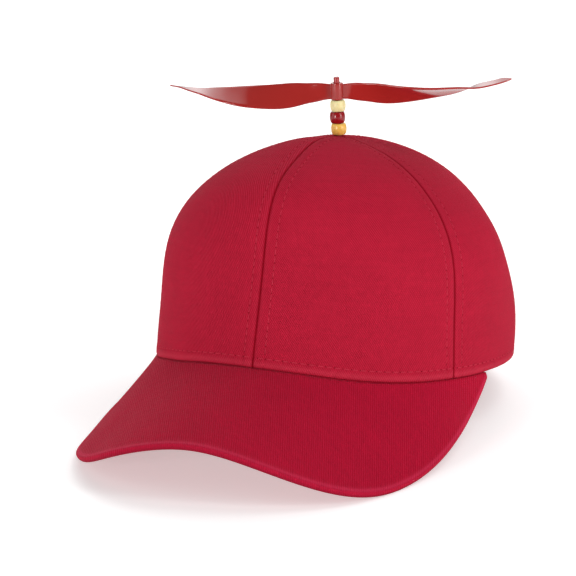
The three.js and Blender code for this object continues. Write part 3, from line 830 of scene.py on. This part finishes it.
barrel = np.linspace(-90, 90, 41) * RAD
bulge = np.maximum(np.cos(barrel), 0) ** 1.1
bead_outer = np.stack([BEAD_END_R + (BEAD_R - BEAD_END_R) * bulge, BEAD_HEIGHT / 2 * (1 + np.sin(barrel))], -1)
bead_bore = np.array([(BORE_R + 0.32, BEAD_HEIGHT - 0.02), (BORE_R + 0.1, BEAD_HEIGHT - 0.14), (BORE_R, BEAD_HEIGHT - 0.45),
                      (BORE_R, 0.45), (BORE_R + 0.1, 0.14), (BORE_R + 0.32, 0.02)])
bead_row = np.concatenate([bead_outer, bead_bore, bead_outer[:1]])
for i, (node, material) in enumerate((("bead_orange", BEAD_ORANGE), ("bead_red", BEAD_RED), ("bead_yellow", BEAD_YELLOW))):
    points, faces = turned(node, bead_row[:-1], material)
    count = len(bead_row) - 1
    seal = [[(count - 1) * 72 + k, (count - 1) * 72 + (k + 1) % 72, (k + 1) % 72, k] for k in range(72)]
    piece = make(node + "_turned", on_mast(points + np.array([BEAD_SIDEWAYS[i] * 0.92, BEAD_SIDEWAYS[i] * 0.4, BEAD_FIRST_Z + i * BEAD_PITCH])), faces.tolist() + seal, [material])
    place(piece, "cap", node, node)

# ---- propeller -------------------------------------------------------------------
share_at = BLADE_SECTION[:, 0]
blade_chord, blade_pitch, blade_rise = (smooth(share_at, BLADE_SECTION[:, i]) for i in (1, 2, 3))


def blade(past, lift_angle, half_turn):
    stations = np.concatenate([np.linspace(0.028, 0.9, 90)[:-1], np.linspace(0.9, 0.985, 16)[:-1], np.linspace(0.985, 1, 8)])
    rings = []
    for share in stations:
        pitch = float(blade_pitch(share)) * RAD
        half = float(blade_chord(share)) / 2
        thick = 0.58 - 0.2 * float(step(0.55, 1.0, share))
        hollow = half * float(step(0.1, 0.3, share) * (1 - step(0.9, 1.0, share)))
        flat = np.linspace(1, -1, 15) * max(half - thick, 0.05)
        round_end = np.linspace(90, -90, 7)[1:-1] * RAD
        edge = max(half - thick, 0.05)
        row = [(x, thick) for x in flat]
        row += [(-edge - thick * math.cos(a), thick * math.sin(a)) for a in round_end]
        row += [(x, -thick) for x in flat[::-1]]
        row += [(edge + thick * math.cos(a), -thick * math.sin(a)) for a in round_end]
        row = np.array(row)
        bow = np.where(row[:, 1] > 0, -0.015, 0.072) * hollow * np.maximum(1 - (row[:, 0] / edge) ** 2, 0)
        across = np.array([0, -math.cos(pitch), math.sin(pitch)])
        through = np.array([0, math.sin(pitch), math.cos(pitch)])
        middle = np.array([BLADE_LENGTH * share + past * float(step(BLADE_PAST_FROM, 1, share)), 0, float(blade_rise(share))])
        rings.append(middle + row[:, :1] * across + (row[:, 1] + bow)[:, None] * through)
    rings = np.stack(rings)
    x, z = rings[..., 0].copy(), rings[..., 2].copy()
    rings[..., 0] = x * math.cos(lift_angle) - z * math.sin(lift_angle)
    rings[..., 2] = x * math.sin(lift_angle) + z * math.cos(lift_angle)
    if half_turn:
        rings[..., :2] *= -1
    rings[..., 2] += HUB_HEIGHT
    n = rings.shape[1]
    faces = grid_faces(len(rings), n, closed=True).tolist()
    last = (len(rings) - 1) * n
    faces += [list(range(n - 1, -1, -1)), list(range(last, last + n))]
    return rings.reshape(-1, 3), faces


def spun(points):
    """The propeller's own frame to the row frame, at its resting turn."""
    c, s = math.cos(PROPELLER_TURN), math.sin(PROPELLER_TURN)
    x, y, z = points[:, 0], points[:, 1], points[:, 2]
    return on_mast(np.stack([c * x - s * y, s * x + c * y, z + HUB_Z], -1))


hub_row = rounded([
    (BORE_R, HUB_HEIGHT / 2), (BORE_R, 0), (HUB_R, 0), (HUB_R, HUB_HEIGHT), (BORE_R, HUB_HEIGHT), (BORE_R, HUB_HEIGHT / 2 + 0.2)], 0.45, 6)
hub_points, hub_faces = turned("hub", hub_row, PROPELLER_RED, 64)
count = len(hub_row)
hub_faces = hub_faces.tolist() + [[(count - 1) * 64 + k, (count - 1) * 64 + (k + 1) % 64, (k + 1) % 64, k] for k in range(64)]
hub = make("propeller_moulding", spun(hub_points), hub_faces, [PROPELLER_RED])
blades = []
for i, (past, lift_angle) in enumerate(BLADES):
    points, faces = blade(past, lift_angle, i == 1)
    blades.append(make(f"blade_{i}", spun(points), faces, [PROPELLER_RED]))


def face_out(piece):
    """Turns every face of a closed piece outwards."""
    import bmesh

    bm = bmesh.new()
    bm.from_mesh(piece.data)
    bmesh.ops.recalc_face_normals(bm, faces=bm.faces)
    bm.to_mesh(piece.data)
    bm.free()


for piece in (hub, *blades):
    face_out(piece)
for piece in blades:
    join = hub.modifiers.new("join", "BOOLEAN")
    join.operation, join.solver, join.object = "UNION", "EXACT", piece
bpy.context.view_layer.update()
joined = bpy.data.meshes.new_from_object(hub.evaluated_get(bpy.context.evaluated_depsgraph_get()))
hub.modifiers.clear()
hub.data = joined
for piece in blades:
    bpy.data.objects.remove(piece)
joined.polygons.foreach_set("use_smooth", np.ones(len(joined.polygons), bool))
joined.set_sharp_from_angle(angle=50 * RAD)
place(hub, "propeller", "propeller_plastic", "propeller")

for piece in list(scene.objects):
    if piece.type == "MESH" and "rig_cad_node" not in piece and piece is not hub:
        face_out(piece)

# ---- floor, light, camera ---------------------------------------------------------
floor_material, nodes, links, shader = new_material("floor_paper")
coords = nodes.new("ShaderNodeTexCoord")
links.new(mix_colours(nodes, links, noise(nodes, links, coords.outputs["Object"], 3, 3), (0.86, 0.86, 0.86), (0.9, 0.9, 0.9)), shader.inputs["Base Color"])
shader.inputs["Roughness"].default_value = 0.7
shader.inputs["Specular IOR Level"].default_value = 0.2
shader.inputs["Emission Color"].default_value = (1, 1, 1, 1)
shader.inputs["Emission Strength"].default_value = 0.42
floor = make("floor", [(-6, -6, 0), (6, -6, 0), (6, 6, 0), (-6, 6, 0)], [(0, 1, 2, 3)], [floor_material], smooth_shade=False)
floor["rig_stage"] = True

world = bpy.data.worlds.new("studio")
world.use_nodes = True
scene.world = world
world.node_tree.nodes["Background"].inputs["Color"].default_value = (1, 1, 1, 1)
world.node_tree.nodes["Background"].inputs["Strength"].default_value = 0.12

# camera: direction and distance measured on the crown
AZ, EL, ROLL, DISTANCE, FOCAL = 23.775 * RAD, 7.0 * RAD, -0.858 * RAD, 1500.0, 2850.0
AIM, AIM_PIXEL, IMAGE = np.array([0.0, 0.0, 70.0]), (337.334, 221.546), 576
forward = np.array([-math.sin(AZ) * math.cos(EL), math.cos(AZ) * math.cos(EL), -math.sin(EL)])
right = np.array([math.cos(AZ), math.sin(AZ), 0.0])
up = np.cross(right, forward)
stand = AIM - forward * DISTANCE
image_right = math.cos(ROLL) * right - math.sin(ROLL) * up
image_up = math.sin(ROLL) * right + math.cos(ROLL) * up
middle = forward * FOCAL + image_right * (IMAGE / 2 - AIM_PIXEL[0]) + image_up * (AIM_PIXEL[1] - IMAGE / 2)


def turn_in_row(v):
    return np.array([v[0], v[1] * COS + v[2] * SIN, -v[1] * SIN + v[2] * COS])


look = unit(turn_in_row(middle))
side = turn_in_row(image_right)
side = unit(side - look * (side @ look))
over = np.cross(side, look)
camera_data = bpy.data.cameras.new("camera")
camera_data.sensor_fit, camera_data.sensor_width = "HORIZONTAL", 36
camera_data.lens = FOCAL / IMAGE * 36
camera_data.clip_start, camera_data.clip_end = 0.05, 50
camera = bpy.data.objects.new("camera", camera_data)
scene.collection.objects.link(camera)
place_at = in_row(stand)
camera.matrix_world = Matrix((
    (side[0], over[0], -look[0], place_at[0]),
    (side[1], over[1], -look[1], place_at[1]),
    (side[2], over[2], -look[2], place_at[2]),
    (0, 0, 0, 1),
))
scene.camera = camera


def softbox(name, round_camera, elevation, distance, size, power, top=1.0, bottom=1.0):
    """A soft light, at an angle to the right of the camera as seen from above. It may
    fade towards its top and bottom edges, to the shares of its brightness given."""
    turn = math.atan2(place_at[1], place_at[0]) + round_camera * RAD
    centre = Vector((0, 0, 0.09))
    way = Vector((math.cos(turn) * math.cos(elevation * RAD), math.sin(turn) * math.cos(elevation * RAD), math.sin(elevation * RAD)))
    data = bpy.data.lights.new(name, "AREA")
    data.shape, data.size, data.size_y = "RECTANGLE", *size
    data.energy = power
    if top < 1:
        data.use_nodes = True
        nodes, links = data.node_tree.nodes, data.node_tree.links
        split = nodes.new("ShaderNodeSeparateXYZ")
        links.new(nodes.new("ShaderNodeNewGeometry").outputs["Parametric"], split.inputs[0])
        fades = []
        for start, end, first, last in ((0.8, 1.0, 1.0, top), (0.0, 0.26, bottom, 1.0)):
            fade = nodes.new("ShaderNodeMapRange")
            fade.inputs["From Min"].default_value, fade.inputs["From Max"].default_value = start, end
            fade.inputs["To Min"].default_value, fade.inputs["To Max"].default_value = first, last
            links.new(split.outputs["Y"], fade.inputs["Value"])
            fades.append(fade.outputs["Result"])
        links.new(math_node(nodes, links, "MULTIPLY", *fades), nodes["Emission"].inputs["Strength"])
    light = bpy.data.objects.new(name, data)
    light.location = centre + way * distance
    light.rotation_euler = (-way).to_track_quat("-Z", "Y").to_euler()
    light.visible_camera = False
    scene.collection.objects.link(light)
    return light


softbox("key_right", 55, 16, 1.5, (0.32, 1.3), 13.6)
softbox("key_left", -36, 6.5, 1.5, (0.34, 0.46), 8.2)
softbox("fill_left", -76, 20, 1.6, (1.0, 1.5), 6.6)
softbox("top_right", 100, 60, 1.6, (0.8, 0.8), 6.6)
softbox("back", 180, 33, 1.6, (1.5, 2.08), 18, top=0.15, bottom=0.2)

scene.view_settings.view_transform = "Standard"
scene.view_settings.look = "None"

bpy.context.view_layer.update()
low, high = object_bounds()
